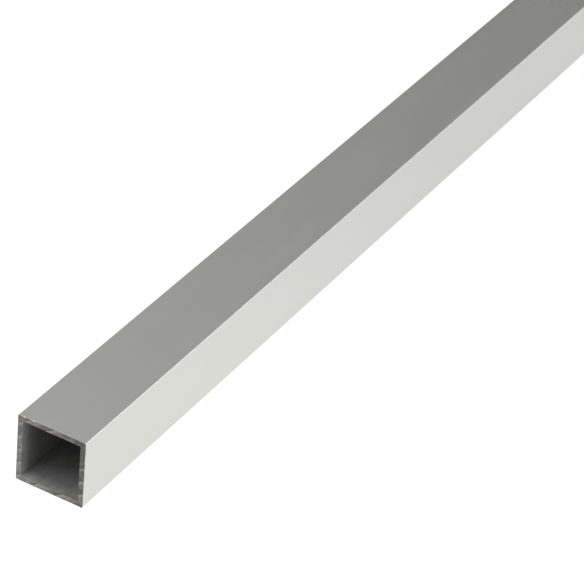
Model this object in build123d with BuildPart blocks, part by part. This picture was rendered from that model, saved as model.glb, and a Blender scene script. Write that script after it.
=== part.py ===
"""A one metre length of square aluminium tube, lying on one of its flats.

The tube is one extrusion. Its section is the same along the whole length: a square of
four equal walls, with a small radius on the outer corners and a small fillet in the
corners of the bore. Both ends are sawn square and left as the saw leaves them.

Millimetres. +X runs along the tube, +Y across it and +Z up. The origin is at the middle
of the length, under the centreline, on the flat that the tube lies on.
"""

import os

from build123d import *

# Driving dimensions
side_width = 20.0  # outside, from flat to flat
wall_thickness = 1.5
tube_length = 1000.0
outer_corner_radius = 0.4
bore_corner_radius = 0.3

# The clear width of the bore, between two facing walls
bore_width = side_width - 2 * wall_thickness

# The section is drawn on the near sawn end, with its centre half a side above the floor.
near_end = Plane(
    origin=(-tube_length / 2, 0, side_width / 2),
    x_dir=(0, 1, 0),
    z_dir=(1, 0, 0),
)

with BuildPart() as square_tube:
    with BuildSketch(near_end) as section:
        Rectangle(side_width, side_width)
        fillet(section.vertices(), radius=outer_corner_radius)
        with BuildSketch(mode=Mode.PRIVATE) as bore:
            Rectangle(bore_width, bore_width)
            fillet(bore.vertices(), radius=bore_corner_radius)
        add(bore.sketch, mode=Mode.SUBTRACT)
    extrude(amount=tube_length)

square_tube.part.label = "square_tube"

os.makedirs("parts", exist_ok=True)
export_step(square_tube.part, "parts/square_tube.step")
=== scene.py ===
"""The looks of a one metre length of square anodised aluminium tube on a pale studio floor.

The file is laid out as an add-on: property groups hold the sizes, finishes and studio values,
one operator builds the studio and one the tube, and a panel lists them. All lengths are in
metres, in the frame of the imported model: +X runs along the tube, +Y across it from its front
flat to its back one, and +Z up. The near sawn end is the one at the lowest X.
"""

import math
from typing import NamedTuple

import bpy
import numpy as np
from mathutils import Matrix, Vector, noise


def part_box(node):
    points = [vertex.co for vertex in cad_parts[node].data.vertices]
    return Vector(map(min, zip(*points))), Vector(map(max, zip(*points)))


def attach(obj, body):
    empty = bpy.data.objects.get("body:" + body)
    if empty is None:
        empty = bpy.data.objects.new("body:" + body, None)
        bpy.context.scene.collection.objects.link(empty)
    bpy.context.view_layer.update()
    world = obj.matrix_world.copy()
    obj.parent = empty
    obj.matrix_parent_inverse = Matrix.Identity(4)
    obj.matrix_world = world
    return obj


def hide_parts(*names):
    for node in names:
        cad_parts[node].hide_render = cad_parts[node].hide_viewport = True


bl_info = {
    "name": "Square Aluminium Tube",
    "version": (1, 0, 0),
    "blender": (4, 5, 0),
    "location": "3D View > Sidebar > Tube",
    "description": "Builds a sawn length of square anodised tube and the studio that it lies in",
    "category": "Add Mesh",
}

NODE = "square_tube"
BODY = "root"
MM = 0.001

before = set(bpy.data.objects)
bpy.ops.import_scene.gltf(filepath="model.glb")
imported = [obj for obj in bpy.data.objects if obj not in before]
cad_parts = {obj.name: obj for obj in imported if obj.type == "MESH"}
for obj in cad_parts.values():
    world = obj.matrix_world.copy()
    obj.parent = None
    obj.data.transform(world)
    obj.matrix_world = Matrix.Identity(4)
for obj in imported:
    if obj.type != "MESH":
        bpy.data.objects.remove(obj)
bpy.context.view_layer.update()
LOW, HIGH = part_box(NODE)
LENGTH = HIGH.x - LOW.x
SIDE = HIGH.y - LOW.y
MIDDLE = (LOW + HIGH) / 2


def length_property(name, description, default):
    """A length in metres, shown in the units of the scene."""
    return bpy.props.FloatProperty(
        name=name,
        description=description,
        default=default,
        min=0.0,
        precision=5,
        unit="LENGTH",
        subtype="DISTANCE",
    )


def share_property(name, description, default, most=1.0):
    """A plain number from nought to most."""
    return bpy.props.FloatProperty(
        name=name, description=description, default=default, min=0.0, max=most
    )


def colour_property(name, description, default):
    """A linear colour."""
    return bpy.props.FloatVectorProperty(
        name=name,
        description=description,
        default=default,
        size=3,
        min=0.0,
        max=1.0,
        subtype="COLOR",
    )


class TubeSizes(bpy.types.PropertyGroup):
    """Sizes of the section, of its edges and of the saw marks on its ends."""

    wall: length_property("Wall", "Thickness of each wall", 1.5 * MM)
    outer_radius: length_property(
        "Outer corners", "Radius of the four long outer corners", 0.4 * MM
    )
    bore_radius: length_property("Bore corners", "Fillet in the four corners of the bore", 0.3 * MM)
    outer_arris: length_property(
        "Outer arris", "Rounding where a flat meets the sawn end", 0.06 * MM
    )
    bore_arris: length_property(
        "Bore arris", "Rounding where the bore meets the sawn end", 0.04 * MM
    )
    burr: length_property("Burr", "How much wider the arris is at a burr", 0.16 * MM)
    saw_depth: length_property(
        "Saw mark depth", "Height of the step between two saw marks", 0.06 * MM
    )
    saw_pitch: length_property(
        "Saw mark pitch", "Feed of the saw from one mark to the next", 4.06 * MM
    )
    blade_radius: length_property("Blade radius", "Radius of the arcs that the saw leaves", 127 * MM)
    blade_offset: length_property(
        "Blade offset", "From the tube's centreline to the blade's, seen end on", 62.3 * MM
    )
    mesh_step: length_property("Mesh step", "Spacing of the vertices on a sawn end", 0.1 * MM)


class TubeFinish(bpy.types.PropertyGroup):
    """Colours and roughness of the anodised flats, the bore and the sawn ends."""

    film: colour_property(
        "Anodised film", "Satin clear anodised aluminium", (0.588, 0.591, 0.559)
    )
    film_roughness: share_property("Film roughness", "Of the satin flats", 0.4)
    bore: colour_property("Bore", "Aluminium inside the bore", (0.283, 0.287, 0.281))
    bore_roughness: share_property("Bore roughness", "Of the walls of the bore", 0.62)
    sawn_light: colour_property(
        "Sawn, light", "Torn metal at the top of a saw mark", (0.287, 0.277, 0.264)
    )
    sawn_dark: colour_property(
        "Sawn, dark", "Smeared metal at the foot of a saw mark", (0.104, 0.098, 0.091)
    )
    sawn_mean: colour_property("Sawn, mean", "The dull edges of a sawn end", (0.185, 0.177, 0.168))
    sawn_roughness: share_property("Sawn roughness", "Of the sawn ends", 0.55)
    arris: colour_property("Arris", "Torn metal at the burrs of a sawn end", (0.8, 0.79, 0.77))
    arris_roughness: share_property("Arris roughness", "Of the edges of the sawn ends", 0.35)
    speck: colour_property(
        "Speck", "A speck of dirt on the near part of the top flat", (0.17, 0.14, 0.115)
    )


class StudioLook(bpy.types.PropertyGroup):
    """Colours and strengths of the floor, the room and the soft lights on its walls."""

    floor: colour_property("Floor", "What the floor scatters", (0.9, 0.9, 0.9))
    floor_glow: share_property(
        "Floor glow", "How much of the white floor is its own light", 0.888, 2.0
    )
    floor_shade: share_property(
        "Floor shade", "How much of the room's light the white floor shows", 0.1
    )
    painted_floor_pool: share_property("Floor pool", "How much whiter the floor is by the near end", 0.22)
    room_high: share_property("Room, high", "Brightness of the room overhead", 0.95, 2.0)
    room_low: share_property("Room, low", "Brightness of the room at the horizon", 0.145, 2.0)
    far_wall: share_property(
        "Far wall", "How much darker the room is beyond the far end", 0.335
    )
    overhead: share_property(
        "Overhead light", "Brightness of the round soft light above the near end", 4.75, 20.0
    )
    window: share_property(
        "Front window", "Brightness of the wide soft light that faces the front flat", 1.88, 20.0
    )
    fill: share_property(
        "Fill light", "Brightness of the low soft light before the near part", 1.8, 20.0
    )
    back: share_property(
        "Back light", "Brightness of the soft light behind the near end", 2.4, 20.0
    )


class Signal:
    """An output of a shader node that can be used in Python sums, which then add Math nodes."""

    def __init__(self, graph, socket):
        self.graph = graph
        self.socket = socket

    def math(self, operation, *values):
        """The result of one Math node that works on the values."""
        made = self.graph.node("ShaderNodeMath", {"operation": operation}, dict(enumerate(values)))
        return made.signal()

    def __add__(self, other):
        return self.math("ADD", self, other)

    __radd__ = __add__

    def __sub__(self, other):
        return self.math("SUBTRACT", self, other)

    def __rsub__(self, other):
        return self.math("SUBTRACT", other, self)

    def __mul__(self, other):
        return self.math("MULTIPLY", self, other)

    __rmul__ = __mul__

    def __truediv__(self, other):
        return self.math("DIVIDE", self, other)

    def __pow__(self, other):
        return self.math("POWER", self, other)

    def __mod__(self, other):
        return self.math("FLOORED_MODULO", self, other)

    def __abs__(self):
        return self.math("ABSOLUTE", self)

    def clamped(self):
        """This value held between nought and one."""
        return self.math("MAXIMUM", self.math("MINIMUM", self, 1.0), 0.0)

    def swing(self, amount):
        """A noise turned into a change either way, of that amount between its ends."""
        return (self - 0.5) * amount

    def smooth_between(self, start, end):
        """Nought at start, one at end and smooth between them."""
        return self.graph.node(
            "ShaderNodeMapRange",
            {"interpolation_type": "SMOOTHSTEP"},
            {"Value": self, "From Min": start, "From Max": end},
        ).signal("Result")

    def smooth_band(self, start, full, fading, end):
        """One between full and fading, nought outside start and end, and smooth between them."""
        return self.smooth_between(start, full) * (1.0 - self.smooth_between(fading, end))


class Made:
    """A node that was just added, with its outputs as signals."""

    def __init__(self, graph, node):
        self.graph = graph
        self.node = node

    def signal(self, output=0):
        """One of its outputs, by number or name."""
        return Signal(self.graph, self.node.outputs[output])


class Graph:
    """Adds nodes to the tree of one material, or of the world."""

    def __init__(self, tree):
        self.tree = tree
        tree.nodes.clear()

    def node(self, kind, settings=None, sockets=None):
        """One node of that kind. Its settings come first, and then its sockets' values or links."""
        made = self.tree.nodes.new(kind)
        for name, value in (settings or {}).items():
            setattr(made, name, value)
        for name, value in (sockets or {}).items():
            if isinstance(value, Signal):
                self.tree.links.new(value.socket, made.inputs[name])
            else:
                made.inputs[name].default_value = value
        return Made(self, made)

    def object_place(self):
        """The point on the surface, in the tube's own frame."""
        return self.node("ShaderNodeTexCoord").signal("Object")

    def parts(self, vector):
        """The three numbers of a vector."""
        split = self.node("ShaderNodeSeparateXYZ", None, {0: vector})
        return [split.signal(k) for k in range(3)]

    def vector(self, x, y, z):
        """A vector of three numbers."""
        return self.node("ShaderNodeCombineXYZ", None, {0: x, 1: y, 2: z}).signal()

    def vector_math(self, operation, sockets):
        """One Vector Math node."""
        return self.node("ShaderNodeVectorMath", {"operation": operation}, sockets)

    def stretched(self, vector, scales):
        """A vector with each of its numbers multiplied."""
        return self.vector_math("MULTIPLY", {0: vector, 1: scales}).signal()

    def distance(self, first, second):
        """How far one point is from another."""
        return self.vector_math("DISTANCE", {0: first, 1: second}).signal("Value")

    def cosine(self, first, second):
        """The cosine of the angle between two directions."""
        return self.vector_math("DOT_PRODUCT", {0: first, 1: second}).signal("Value")

    def shaded(self, colour, tone):
        """A colour made lighter or darker by a factor."""
        return self.vector_math("SCALE", {0: tuple(colour), "Scale": tone}).signal()

    def noise(self, vector, detail):
        """Smooth noise, about a half on average, with one bump to each unit of the vector."""
        sockets = {"Vector": vector, "Scale": 1.0, "Detail": detail, "Roughness": 0.5}
        return self.node("ShaderNodeTexNoise", None, sockets).signal()

    def mix(self, share, first, second):
        """A colour between two colours."""
        sockets = {"Factor": share, 6: opaque(first), 7: opaque(second)}
        return self.node("ShaderNodeMix", {"data_type": "RGBA"}, sockets).signal(2)

    def bump(self, height, distance):
        """A normal tilted by a height from nought to one, which stands for that distance."""
        sockets = {"Height": height, "Distance": distance, "Strength": 1.0}
        return self.node("ShaderNodeBump", None, sockets).signal()

    def diffuse(self, colour):
        """A dull white or coloured surface."""
        return self.node("ShaderNodeBsdfDiffuse", None, {"Color": opaque(colour)}).signal()

    def metal(self, sockets):
        """A metal surface with those sockets, as the material's output."""
        sockets = {"Metallic": 1.0, **sockets}
        surface = self.node("ShaderNodeBsdfPrincipled", None, sockets).signal()
        self.node("ShaderNodeOutputMaterial", None, {"Surface": surface})


def opaque(colour):
    """A colour with an alpha, unless it is a signal."""
    return colour if isinstance(colour, Signal) else (*colour[:3], 1.0)


def new_material(name, preview):
    """An empty material, and the graph that fills it. Solid view shows its preview colour."""
    material = bpy.data.materials.new(name)
    material.diffuse_color = opaque(preview)
    material.use_nodes = True
    return material, Graph(material.node_tree)


class Burr(NamedTuple):
    """A burr on the edge of a sawn end: where it is across the end, and how strong from 0 to 1."""

    y: float
    z: float
    reach: float
    strength: float


class Nick(NamedTuple):
    """A small dark nick in the face of a sawn end."""

    x: float
    y: float
    z: float
    reach: float


class SawnEnd(NamedTuple):
    """One end of the tube: where it is, the way into the tube, and what the saw left on it."""

    x: float
    inward: int
    line_height: float  # of one line between two saw marks, on the centreline
    burrs: tuple
    seed: int


NEAR_END = SawnEnd(
    x=LOW.x,
    inward=1,
    line_height=7.4 * MM,
    burrs=(
        Burr(8.7 * MM, 20.0 * MM, 0.9 * MM, 0.3),
        Burr(7.95 * MM, 20.0 * MM, 0.5 * MM, 0.52),
        Burr(6.4 * MM, 20.0 * MM, 1.1 * MM, 0.28),
        Burr(5.2 * MM, 20.0 * MM, 0.55 * MM, 0.66),
        Burr(-10.0 * MM, 14.3 * MM, 0.4 * MM, 0.8),
        Burr(8.45 * MM, 10.5 * MM, 0.5 * MM, 0.6),
        Burr(8.2 * MM, 18.5 * MM, 1.2 * MM, 0.4),
    ),
    seed=1,
)
FAR_END = SawnEnd(
    x=HIGH.x,
    inward=-1,
    line_height=8.9 * MM,
    burrs=(
        Burr(-3.1 * MM, 20.0 * MM, 1.6 * MM, 0.45),
        Burr(-8.5 * MM, 13.2 * MM, 0.5 * MM, 0.6),
        Burr(2.2 * MM, 1.5 * MM, 0.6 * MM, 0.6),
    ),
    seed=2,
)
NICKS = (
    Nick(NEAR_END.x, 4.4 * MM, 0.85 * MM, 0.4 * MM),
    Nick(NEAR_END.x, -2.5 * MM, 0.85 * MM, 0.4 * MM),
    Nick(FAR_END.x, 9.2 * MM, 6.1 * MM, 0.4 * MM),
)

# A speck of dirt by the edge between the top and front flats. It is longer along the tube, so
# lengths along it are taken in before its reach is measured.
SPECK_PLACE = Vector((LOW.x + 79 * MM, LOW.y + 0.4 * MM, HIGH.z))
SPECK_SCALES = Vector((0.55, 1.0, 1.0))
SPECK_REACH = (0.15 * MM, 0.3 * MM)
SPECK_RAGGEDNESS = 0.1 * MM

# How many bumps each noise has to the metre: along the tube, across it and up
FILM_STREAKS = (6.0, 1400.0, 1400.0)
FILM_CLOUDS = (25.0, 90.0, 90.0)
FILM_GRAIN = (9000.0, 9000.0, 9000.0)
DIE_LINES = (4.0, 1500.0, 1500.0)
BORE_PATCHES = (200.0, 500.0, 500.0)
SAWN_PATCHES = (400.0, 400.0, 400.0)
ARRIS_SCUFFS = (900.0, 900.0, 900.0)

# The streaks of a sawn end follow its saw marks: how many there are to a mark, and to the metre
# across the end
STREAKS_IN_A_MARK = 14.0
STREAKS_ACROSS = 500.0

# How deep the bumps of each finish are
FILM_RELIEF = 0.002 * MM
BORE_RELIEF = 0.006 * MM
SAWN_RELIEF = 0.02 * MM

# Where the painted highlight along the long edges of the film ends, measured from the nearer flat
EDGE_HIGHLIGHT_REACH = (0.2 * MM, 0.45 * MM)

# The painted shade beside each corner of the bore, and the light line beside that, measured from the
# corner
CREASE_SHADE = (0.02 * MM, 0.12 * MM, 0.25 * MM, 0.4 * MM)
LIGHT_LINE = (0.35 * MM, 0.5 * MM, 0.65 * MM, 0.9 * MM)

# How far down the bore the painted light by the mouth and those lines end, and the painted light
# deeper down begins
MOUTH_LIGHT_DEPTHS = (0.5 * MM, 4.5 * MM)
LINE_DEPTHS = (6.0 * MM, 16.0 * MM)
DEEP_LIGHT_DEPTHS = (8.0 * MM, 24.0 * MM)

# The heights over which the bore's floor turns into its side walls
FLOOR_HEIGHTS = (0.05 * MM, 0.5 * MM)

# The painted highlight on the lip at the top of a saw mark and the painted shadow at its foot under
# the step, as shares of the mark from its foot to its top
LIP_HIGHLIGHT = (0.72, 0.86, 0.95, 0.99)
STEP_SHADOW = (0.0, 0.01, 0.05, 0.09)

# The heights between which the side walls of a sawn end are darker, and the light strip over
# the bore, measured from the top of the bore
DARKER_WALL_HEIGHTS = (6.0 * MM, 9.5 * MM, 16.5 * MM, 18.5 * MM)
STRIP_OVER_BORE = (-0.2 * MM, -0.1 * MM, 0.3 * MM, 0.8 * MM)


def saw_phase(sizes, y, z, offset):
    """How many saw marks lie below a point of a sawn end. Its last whole number names the mark.

    The blade has one radius and is fed straight up, so each mark is the same arc, one pitch
    above the last. It takes arrays of numbers, and signals.
    """
    arc = (sizes.blade_radius**2 - (y + sizes.blade_offset) ** 2) ** 0.5
    return (z - arc) / sizes.saw_pitch + offset


def saw_offset(sizes, height):
    """The offset that puts a line between two marks at that height on the centreline."""
    arc = math.sqrt(sizes.blade_radius**2 - sizes.blade_offset**2)
    return -(height - arc) / sizes.saw_pitch


def anodised_film(finish):
    """Satin anodised flats: faint lines along the extrusion, a fine grain, a painted highlight along
    the long edges and a speck of dirt.
    """
    material, graph = new_material("anodised_film", finish.film)
    place = graph.object_place()
    streaks = graph.noise(graph.stretched(place, FILM_STREAKS), detail=3.0)
    clouds = graph.noise(graph.stretched(place, FILM_CLOUDS), detail=2.0)
    grain = graph.noise(graph.stretched(place, FILM_GRAIN), detail=1.0)
    tone = 1.0 + streaks.swing(0.03) + clouds.swing(0.02)

    # Painted highlight: the long edges of the film are a little brighter
    _, across, height = graph.parts(place)
    from_middle = abs(across - MIDDLE.y), abs(height - MIDDLE.z)
    from_flat = SIDE / 2 - across.math("MINIMUM", *from_middle)
    tone = tone + 0.03 * (1.0 - from_flat.smooth_between(*EDGE_HIGHLIGHT_REACH))

    from_speck = graph.distance(graph.stretched(place, SPECK_SCALES), SPECK_PLACE * SPECK_SCALES)
    dirt = 1.0 - (from_speck + grain.swing(SPECK_RAGGEDNESS)).smooth_between(*SPECK_REACH)
    graph.metal(
        {
            "Base Color": graph.mix(dirt, graph.shaded(finish.film, tone), finish.speck),
            "Metallic": 1.0 - dirt,
            "Roughness": finish.film_roughness + streaks.swing(0.06) + clouds.swing(0.03),
            "Normal": graph.bump(streaks * 0.4 + grain * 0.6, FILM_RELIEF),
        }
    )
    return material


def bore_metal(sizes, finish):
    """The walls of the bore: duller than the flats, with plain lines from the die, painted light by
    the mouths and deeper down, and painted shade by the corners and towards the back of the floor.
    """
    material, graph = new_material("bore_metal", finish.bore)
    place = graph.object_place()
    die_lines = graph.noise(graph.stretched(place, DIE_LINES), detail=3.0)
    patches = graph.noise(graph.stretched(place, BORE_PATCHES), detail=3.0)
    along, across, height = graph.parts(place)
    sideways = (across - MIDDLE.y) / SIDE

    # Painted light brightens the bore by its mouths, towards the back most of all
    from_mouth = LENGTH / 2 - abs(along - MIDDLE.x)
    near_mouth = 1.0 - from_mouth.smooth_between(*MOUTH_LIGHT_DEPTHS)
    painted_mouth_light = near_mouth * (0.43 + sideways * 0.5)

    # Deeper down painted light brightens it
    painted_deep_light = from_mouth.smooth_between(*DEEP_LIGHT_DEPTHS)

    # Its floor is a little darker, with painted shade towards the back wall and painted light towards
    # the front one, away from the mouths
    on_floor = 1.0 - (height - LOW.z - sizes.wall).smooth_between(*FLOOR_HEIGHTS)
    painted_floor_shading = on_floor * (1.0 - near_mouth) * sideways

    # On the side walls painted shade runs beside each corner, and a light line beside that one
    from_corner = SIDE / 2 - sizes.wall - abs(height - MIDDLE.z)
    painted_crease_shade = from_corner.smooth_band(*CREASE_SHADE)
    light_line = from_corner.smooth_band(*LIGHT_LINE)
    shown = 1.0 - from_mouth.smooth_between(*LINE_DEPTHS)
    lines = (light_line * 0.22 - painted_crease_shade * 0.2) * shown

    tone = 1.0 + die_lines.swing(0.22) + patches.swing(0.35) + lines
    tone = tone * (1.0 + painted_mouth_light - painted_floor_shading * 0.4 - on_floor * 0.06 + painted_deep_light * 0.65)
    graph.metal(
        {
            "Base Color": graph.shaded(finish.bore, tone),
            "Roughness": finish.bore_roughness + patches.swing(0.15),
            "Normal": graph.bump(die_lines, BORE_RELIEF),
        }
    )
    return material


def sawn_metal(sizes, finish):
    """The sawn ends: each saw mark is smeared dark at its foot and torn lighter at its top, with a
    painted highlight on its lip and a painted shadow under its step.
    """
    material, graph = new_material("sawn_metal", finish.sawn_dark)
    place = graph.object_place()
    x, y, z = graph.parts(place)
    near, far = (
        saw_phase(sizes, y, z, saw_offset(sizes, end.line_height)) for end in (NEAR_END, FAR_END)
    )
    at_far_end = x.math("GREATER_THAN", x, MIDDLE.x)
    phase = near + (far - near) * at_far_end
    along_marks = graph.vector(phase * STREAKS_IN_A_MARK, y * STREAKS_ACROSS, x)
    streaks = graph.noise(along_marks, detail=3.0)
    patches = graph.noise(graph.stretched(place, SAWN_PATCHES), detail=3.0)

    # Where a point lies between the foot of its mark, nought, and the top of it, one
    up_the_mark = (phase + patches.swing(0.12)) % 1.0
    # The lip at the top of each mark has a painted highlight, and its foot under the step a painted
    # shadow
    burr_tear_and_lip_highlight = up_the_mark.smooth_band(*LIP_HIGHLIGHT)
    step = up_the_mark.smooth_band(*STEP_SHADOW)
    relief = up_the_mark**1.6 * 0.46 + burr_tear_and_lip_highlight * 0.26 - step * 0.4

    # The end is lighter towards the back and the floor, and has no marks in the upper
    # front corner
    sideways = (y - MIDDLE.y) / SIDE
    toward_back_and_floor = (y - MIDDLE.y - (z - MIDDLE.z)) / SIDE
    marked = toward_back_and_floor.smooth_between(-0.68, -0.59)
    marks = relief * marked + 0.07 * (1.0 - marked)

    # The tone goes from nought, which is smeared dark metal, to one, which is torn light metal
    tone = 0.25 + marks + toward_back_and_floor * 0.27 + streaks.swing(1.3) + patches.swing(1.3)

    # The side walls are darker over their upper half, the front one most
    inner = SIDE / 2 - sizes.wall
    on_side_wall = abs(y - MIDDLE.y).smooth_between(inner - 0.2 * MM, inner)
    darker_upper_walls = on_side_wall * z.smooth_band(*DARKER_WALL_HEIGHTS)
    tone = tone - darker_upper_walls * (0.14 - sideways * 0.17)

    # Along the bore the top wall is torn lighter, towards the front most of all
    over_bore = (z - MIDDLE.z - inner).smooth_band(*STRIP_OVER_BORE)
    tone = tone + over_bore * (1.0 - on_side_wall) * (0.2 - sideways * 0.15)

    for nick in NICKS:
        from_nick = graph.distance(place, nick[:3])
        tone = tone - 0.6 * (1.0 - from_nick.smooth_between(0.5 * nick.reach, nick.reach))
    graph.metal(
        {
            "Base Color": graph.mix(tone.clamped(), finish.sawn_dark, finish.sawn_light),
            "Roughness": finish.sawn_roughness + streaks.swing(0.2),
            "Normal": graph.bump(streaks, SAWN_RELIEF),
        }
    )
    return material


def arris_metal(finish):
    """The edges of the sawn ends: as dull as the ends themselves, but torn bright at each burr."""
    material, graph = new_material("arris_metal", finish.arris)
    place = graph.object_place()
    scuffs = graph.noise(graph.stretched(place, ARRIS_SCUFFS), detail=2.0)
    bright = 0.05 * scuffs
    for end in (NEAR_END, FAR_END):
        for burr in end.burrs:
            from_burr = graph.distance(place, (end.x, burr.y, burr.z))
            away = from_burr.smooth_between(0.4 * burr.reach, 1.2 * burr.reach)
            bright = bright + (1.0 - away) * burr.strength * (0.2 + scuffs)
    graph.metal(
        {
            "Base Color": graph.mix(bright.clamped(), finish.sawn_mean, finish.arris),
            "Roughness": finish.arris_roughness + scuffs.swing(0.3),
        }
    )
    return material


# Rings of vertices along a wall: how many lengths it has, and how far its first and last ring
# lie from the ends
WALL_STEPS = 12
END_RING = 0.6 * MM

# How far behind the arris a wall has one more ring, which keeps its shading flat up to there
ARRIS_GUARD = 0.03 * MM

# Steps round the corners of the section, and round the arris on each side of a sawn end
CORNER_STEPS = 8
OUTER_ARRIS_STEPS = 4
BORE_ARRIS_STEPS = 3

# Noise on the edges of a sawn end: bumps to the metre, and how far the arris swings from its size
ARRIS_BUMPS = 700.0
ARRIS_SWING = 0.35
BURR_BUMPS = 1800.0

# Unevenness of a sawn end: ridges to a saw mark and to the metre across the end, broad bumps to
# the metre, the height of each, and a little depth that keeps all of it inside the CAD model
RIDGES_IN_A_MARK = 9.0
RIDGES_ACROSS = 350.0
RIDGE_HEIGHT = 0.012 * MM
BROAD_BUMPS = 260.0
BROAD_HEIGHT = 0.01 * MM
LEAST_DEPTH = 0.02 * MM

# The second edge of an end has its noise from a seed this much higher
BORE_SEED = 10

# How far each seed moves the noise along x, y and z
SEED_SHIFTS = (7.3, 3.1, 5.7)


def rounded_square(half_side, radius, flat_steps):
    """Points round a square with rounded corners, as (y, z) from its centre."""
    straight = half_side - radius
    flat = [(half_side, -straight + 2 * straight * k / flat_steps) for k in range(flat_steps)]
    turns = [math.pi / 2 * k / CORNER_STEPS for k in range(CORNER_STEPS)]
    corner = [(straight + radius * math.cos(a), straight + radius * math.sin(a)) for a in turns]
    side = np.array(flat + corner)
    quarter_turn = np.array([[0.0, 1.0], [-1.0, 0.0]])
    return np.concatenate([side @ np.linalg.matrix_power(quarter_turn, k) for k in range(4)])


def quarter_circle(steps):
    """Points of a quarter circle of radius one, from a wall to the sawn end.

    Each has its distance from the wall and its depth under the end.
    """
    turns = [math.pi / 2 * k / steps for k in range(steps + 1)]
    return [(1 - math.cos(a), 1 - math.sin(a)) for a in turns]


def uneven(points, scale, seed):
    """Smooth noise from -1 to 1 for a list of points."""
    shift = Vector([seed * step for step in SEED_SHIFTS])
    return np.array([noise.noise(Vector(point) * scale + shift) for point in points])


def arris_radius(points, radius, burr_width, burrs, seed):
    """The rounding at each point of an edge: a little uneven, and wider where there is a burr."""
    y, z = points.T + np.array([[MIDDLE.y], [MIDDLE.z]])
    places = np.column_stack([y, z, np.zeros_like(y)])
    share = np.zeros_like(y)
    for burr in burrs:
        away = np.hypot(y - burr.y, z - burr.z) / burr.reach
        share = np.maximum(share, np.clip(1.6 * (1 - away), 0, 1) * burr.strength)
    burr_tear_and_lip_highlight = 0.75 + 0.5 * uneven(places, BURR_BUMPS, seed)
    rounding = radius * (1 + ARRIS_SWING * uneven(places, ARRIS_BUMPS, seed + 1))
    return rounding + burr_width * share * burr_tear_and_lip_highlight


def across_the_wall(sizes, outer_arris, bore_arris):
    """Steps across a sawn end from the outer wall to the bore.

    Each step has its distance from the outer wall, its depth under the end, and that distance
    again with the roundings laid out flat. The names of the strips between the steps come second.
    """
    wall = sizes.wall
    nought = np.zeros_like(outer_arris)
    outer_guard, bore_guard = outer_arris + ARRIS_GUARD, bore_arris + ARRIS_GUARD
    steps = [(nought, outer_guard, -outer_guard)]
    for out, depth in quarter_circle(OUTER_ARRIS_STEPS):
        steps.append((outer_arris * out, outer_arris * depth, outer_arris * (out - depth)))
    sawn_steps = round(wall / sizes.mesh_step)
    for k in range(1, sawn_steps):
        out = outer_arris + (wall - outer_arris - bore_arris) * k / sawn_steps
        steps.append((out, nought, out))
    for out, depth in reversed(quarter_circle(BORE_ARRIS_STEPS)):
        laid_out = wall - bore_arris * (out - depth)
        steps.append((wall - bore_arris * out, bore_arris * depth, laid_out))
    steps.append((wall + nought, bore_guard, wall + bore_guard))
    strips = ["arris"] * OUTER_ARRIS_STEPS + ["sawn"] * sawn_steps + ["arris"] * BORE_ARRIS_STEPS
    return steps, ["film", *strips, "bore"]


def sawn_end_depth(sizes, points, end):
    """How far each point of a sawn end lies under the CAD model's end."""
    y, z = points[:, 0] + MIDDLE.y, points[:, 1] + MIDDLE.z
    phase = saw_phase(sizes, y, z, saw_offset(sizes, end.line_height))
    below_top = 1 - phase % 1.0
    seeds = np.full_like(y, float(end.seed))
    along_marks = np.column_stack([phase * RIDGES_IN_A_MARK, y * RIDGES_ACROSS, seeds])
    ridges = uneven(along_marks, 1.0, end.seed)
    broad = uneven(np.column_stack([y, z, np.zeros_like(y)]), BROAD_BUMPS, end.seed + 1)
    relief = sizes.saw_depth * below_top + RIDGE_HEIGHT * ridges + BROAD_HEIGHT * broad
    return relief + LEAST_DEPTH


def add_sawn_end(surface, sizes, outer, bore, end, order):
    """The rings of one sawn end, from the flats to the bore, or back again if the order is -1."""
    outer_arris = arris_radius(outer, sizes.outer_arris, sizes.burr, end.burrs, end.seed)
    bore_arris = arris_radius(
        bore, sizes.bore_arris, sizes.burr, end.burrs, end.seed + BORE_SEED
    )
    profile, strips = across_the_wall(sizes, outer_arris, bore_arris)
    last = "bore" if order > 0 else "film"
    for (out, depth, flat), strip in zip(profile[::order], [*strips[::order], last]):
        points, laid_out = (
            outer * (1 - share[:, None]) + bore * share[:, None]
            for share in (out / sizes.wall, flat / sizes.wall)
        )
        sawn = sawn_end_depth(sizes, points, end)
        surface.add_ring(end.x + end.inward * (depth + sawn), points, strip, laid_out)


def add_wall(surface, section, strip, order):
    """The rings of the flats or the bore, from the near end to the far one, or back again."""
    steps = [LENGTH * k / WALL_STEPS for k in range(1, WALL_STEPS)]
    stations = [LOW.x + along for along in (END_RING, *steps, LENGTH - END_RING)]
    for x in stations[::order]:
        surface.add_ring(np.full(len(section), x), section, strip, section)


class TUBE_OT_square_tube(bpy.types.Operator):
    """Build the tube: four smooth walls, the bore and two sawn ends, as one closed mesh"""

    bl_idname = "tube.square_tube"
    bl_label = "Square Tube"

    def execute(self, context):
        scene = context.scene
        sizes, finish = scene.tube_sizes, scene.tube_finish
        if sizes.wall >= SIDE / 2:
            raise ValueError("The walls are too thick: they leave no bore")
        flat_steps = round(SIDE / sizes.mesh_step)
        outer = rounded_square(SIDE / 2, sizes.outer_radius, flat_steps)
        bore = rounded_square(SIDE / 2 - sizes.wall, sizes.bore_radius, flat_steps)

        surface = ClosedSurface()
        add_sawn_end(surface, sizes, outer, bore, NEAR_END, order=1)
        add_wall(surface, bore, "bore", order=1)
        add_sawn_end(surface, sizes, outer, bore, FAR_END, order=-1)
        add_wall(surface, outer, "film", order=-1)

        materials = {
            "film": anodised_film(finish),
            "bore": bore_metal(sizes, finish),
            "sawn": sawn_metal(sizes, finish),
            "arris": arris_metal(finish),
        }
        tube = surface.build("square_aluminium_tube", materials)
        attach(tube, BODY)
        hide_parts(NODE)
        return {"FINISHED"}


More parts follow.
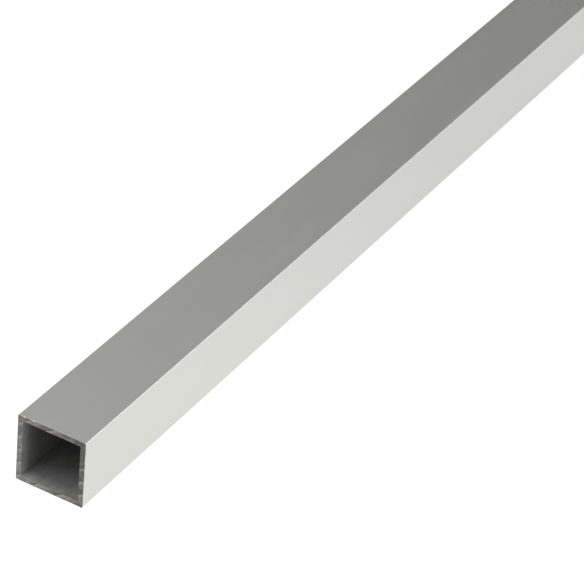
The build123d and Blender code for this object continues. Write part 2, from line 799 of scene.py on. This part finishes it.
# Where each part of the surface lies in the UV map: left, bottom, width and height
UV_PLACES = {
    "film": (0.01, 0.01, 0.98, 0.30),
    "bore": (0.01, 0.33, 0.98, 0.22),
    "near end": (0.04, 0.57, 0.41, 0.41),
    "far end": (0.55, 0.57, 0.41, 0.41),
}

# Room for the laid out roundings on each side of a sawn end in the UV map
UV_END_SIDE = SIDE + 1.0 * MM


class ClosedSurface:
    """A closed surface made of rings of points, each joined to the next and the last to the first."""

    def __init__(self):
        self.x = []
        self.section = []
        self.strips = []
        self.laid_out = []

    def add_ring(self, x, section, strip, laid_out):
        """A ring of points. The strip names the faces that join it to the ring after it."""
        self.x.append(x)
        self.section.append(section)
        self.strips.append(strip)
        self.laid_out.append(laid_out)

    def uv_map(self, ring, step):
        """The place in the UV map of every corner of every face."""
        x, laid_out = np.array(self.x), np.array(self.laid_out)
        count, around = x.shape
        uv = np.empty((len(ring), 4, 2))
        strip = np.array(self.strips)[ring]
        far = x[ring, step] > MIDDLE.x
        for corner, (ring_on, step_on) in enumerate(((0, 0), (1, 0), (1, 1), (0, 1))):
            at_ring, at_step = (ring + ring_on) % count, step + step_on
            along = (x[at_ring, at_step % around] - LOW.x) / LENGTH
            wall_place = np.column_stack([along, at_step / around])
            end_place = laid_out[at_ring, at_step % around] / UV_END_SIDE + 0.5
            for name, (left, bottom, width, height) in UV_PLACES.items():
                if name in ("film", "bore"):
                    chosen, place = strip == name, wall_place
                else:
                    chosen = np.isin(strip, ("sawn", "arris")) & (far == (name == "far end"))
                    place = end_place
                uv[chosen, corner] = (np.array((left, bottom)) + place * (width, height))[chosen]
        return uv

    def build(self, name, materials):
        """The mesh object, with a material for each name of a strip."""
        count, around = len(self.x), len(self.x[0])
        ring, step = np.divmod(np.arange(count * around), around)
        next_ring, next_step = (ring + 1) % count, (step + 1) % around
        corners = ((ring, step), (next_ring, step), (next_ring, next_step), (ring, next_step))
        faces = np.column_stack([at_ring * around + at_step for at_ring, at_step in corners])
        section = np.concatenate(self.section) + (MIDDLE.y, MIDDLE.z)
        points = np.column_stack([np.concatenate(self.x), section])
        mesh = bpy.data.meshes.new(name)
        mesh.from_pydata(points.tolist(), [], faces.tolist())
        order = list(materials)
        for material in materials.values():
            mesh.materials.append(material)
        slots = np.array([order.index(strip) for strip in self.strips], np.int32)
        mesh.polygons.foreach_set("material_index", slots[ring])
        mesh.polygons.foreach_set("use_smooth", np.ones(len(faces), bool))
        layer = mesh.uv_layers.new(name="OFBake")
        layer.data.foreach_set("uv", self.uv_map(ring, step).ravel())
        mesh.update()
        made = bpy.data.objects.new(name, mesh)
        bpy.context.collection.objects.link(made)
        return made


# The camera's place, the point of the tube that it looks at, and its turn about that line
CAMERA_PLACE = Vector((-0.96357, -0.29704, 0.43783))
CAMERA_AIM = Vector((-0.39927, -0.01021, 0.01))
CAMERA_ROLL = math.radians(6.036)

# Its focal length and the width of its sensor, in millimetres
CAMERA_LENS = 173.88
CAMERA_SENSOR = 36.0

# The nearest and farthest that it sees
CAMERA_CLIP = (0.01, 100.0)

# How far the floor reaches each way
FLOOR_REACH = 60.0

# Distances from the near end over which the painted pool of light in the floor's glow fades
PAINTED_POOL_REACH = (0.02, 0.26)

WHITE = (1.0, 1.0, 1.0, 1.0)

# The least brightness of the room
DARKEST = 0.03


class SoftPatch(NamedTuple):
    """A soft round patch on the walls of the room: its direction and its reach, in degrees."""

    azimuth: float
    elevation: float
    inner: float
    outer: float


OVERHEAD_PATCH = SoftPatch(azimuth=164, elevation=65, inner=3, outer=21)
WINDOW_PATCH = SoftPatch(azimuth=-63, elevation=5, inner=22, outer=39)
FILL_PATCH = SoftPatch(azimuth=-103, elevation=12, inner=24, outer=49)
BACK_PATCH = SoftPatch(azimuth=150, elevation=44, inner=12, outer=36)
FAR_WALL_PATCH = SoftPatch(azimuth=-7, elevation=20, inner=27, outer=47)


def add_camera(scene):
    """The photograph's view, down along the tube from beyond its near end."""
    data = bpy.data.cameras.new("camera")
    data.lens = CAMERA_LENS
    data.sensor_width = CAMERA_SENSOR
    data.clip_start, data.clip_end = CAMERA_CLIP
    camera = bpy.data.objects.new("camera", data)
    scene.collection.objects.link(camera)
    level = (CAMERA_AIM - CAMERA_PLACE).to_track_quat("-Z", "Y").to_matrix()
    turn = level @ Matrix.Rotation(CAMERA_ROLL, 3, "Z")
    camera.matrix_world = Matrix.Translation(CAMERA_PLACE) @ turn.to_4x4()
    scene.camera = camera


def add_floor(scene, look):
    """A wide pale floor. To the camera and in reflections it is near white, with a painted pool of
    light by the near end, and keeps its shadow.
    """
    near, far = -FLOOR_REACH, FLOOR_REACH
    corners = [(near, near, 0), (far, near, 0), (far, far, 0), (near, far, 0)]
    mesh = bpy.data.meshes.new("floor")
    mesh.from_pydata(corners, [], [(0, 1, 2, 3)])
    floor = bpy.data.objects.new("floor", mesh)
    scene.collection.objects.link(floor)
    material, graph = new_material("white_sweep", look.floor)

    rays = graph.node("ShaderNodeLightPath")
    kinds = ("Is Camera Ray", "Is Glossy Ray", "Is Transmission Ray")
    camera_ray, glossy_ray, transmission_ray = (rays.signal(kind) for kind in kinds)
    shown = (camera_ray + glossy_ray + transmission_ray).clamped()

    # A painted pool of light: the floor's glow is brighter by the near end
    from_near_end = graph.distance(graph.object_place(), (LOW.x, 0.0, 0.0))
    pool = 1.0 + look.painted_floor_pool * (1.0 - from_near_end.smooth_between(*PAINTED_POOL_REACH))

    lit = graph.diffuse(look.floor)
    dimmed = graph.diffuse([look.floor_shade] * 3)
    glow = graph.node("ShaderNodeEmission", None, {"Strength": pool * look.floor_glow}).signal()
    white = graph.node("ShaderNodeAddShader", None, {0: dimmed, 1: glow}).signal()
    surface = graph.node("ShaderNodeMixShader", None, {0: shown, 1: lit, 2: white}).signal()
    graph.node("ShaderNodeOutputMaterial", None, {"Surface": surface})
    mesh.materials.append(material)


def direction(patch):
    """The way to a patch: its azimuth is from +X towards +Y, and its elevation above the floor."""
    azimuth, elevation = math.radians(patch.azimuth), math.radians(patch.elevation)
    level = math.cos(elevation)
    return level * math.cos(azimuth), level * math.sin(azimuth), math.sin(elevation)


def add_world(scene, look):
    """A plain grey room, lighter overhead, with four soft lights and a darker far wall."""
    world = bpy.data.worlds.new("room")
    world.use_nodes = True
    scene.world = world
    graph = Graph(world.node_tree)
    view = graph.node("ShaderNodeTexCoord").signal("Generated")
    height = graph.parts(view)[2]
    room = look.room_low + (look.room_high - look.room_low) * height.smooth_between(0.0, 1.0)
    for brightness, patch in (
        (look.overhead, OVERHEAD_PATCH),
        (look.window, WINDOW_PATCH),
        (look.fill, FILL_PATCH),
        (look.back, BACK_PATCH),
        (-look.far_wall, FAR_WALL_PATCH),
    ):
        outer, inner = (math.cos(math.radians(angle)) for angle in (patch.outer, patch.inner))
        room = room + brightness * graph.cosine(view, direction(patch)).smooth_between(outer, inner)
    room = room.math("MAXIMUM", room, DARKEST)
    background = graph.node("ShaderNodeBackground", None, {"Color": WHITE, "Strength": room})
    graph.node("ShaderNodeOutputWorld", None, {"Surface": background.signal()})


class TUBE_OT_studio(bpy.types.Operator):
    """Build the studio: floor, room, soft lights and camera"""

    bl_idname = "tube.studio"
    bl_label = "Studio"

    def execute(self, context):
        scene = context.scene
        look = scene.studio_look
        scene.view_settings.view_transform = "Standard"
        add_floor(scene, look)
        add_world(scene, look)
        add_camera(scene)
        return {"FINISHED"}


class TUBE_PT_panel(bpy.types.Panel):
    """The steps that make the scene, and the values that they use"""

    bl_idname = "TUBE_PT_panel"
    bl_label = "Square Tube"
    bl_space_type = "VIEW_3D"
    bl_region_type = "UI"
    bl_category = "Tube"

    def draw(self, context):
        layout = self.layout
        for kind in OPERATORS:
            layout.operator(kind.bl_idname)
        for group in (context.scene.tube_sizes, context.scene.tube_finish, context.scene.studio_look):
            box = layout.box()
            for name in group.bl_rna.properties.keys():
                if name not in ("rna_type", "name"):
                    box.prop(group, name)


GROUPS = {"tube_sizes": TubeSizes, "tube_finish": TubeFinish, "studio_look": StudioLook}
OPERATORS = (TUBE_OT_studio, TUBE_OT_square_tube)
CLASSES = (*GROUPS.values(), *OPERATORS, TUBE_PT_panel)


def register():
    for kind in CLASSES:
        bpy.utils.register_class(kind)
    for name, kind in GROUPS.items():
        setattr(bpy.types.Scene, name, bpy.props.PointerProperty(type=kind))


def unregister():
    for name in GROUPS:
        delattr(bpy.types.Scene, name)
    for kind in reversed(CLASSES):
        bpy.utils.unregister_class(kind)


def main():
    """Registers the add-on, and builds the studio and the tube."""
    register()
    bpy.ops.tube.studio()
    bpy.ops.tube.square_tube()


if __name__ == "__main__":
    main()
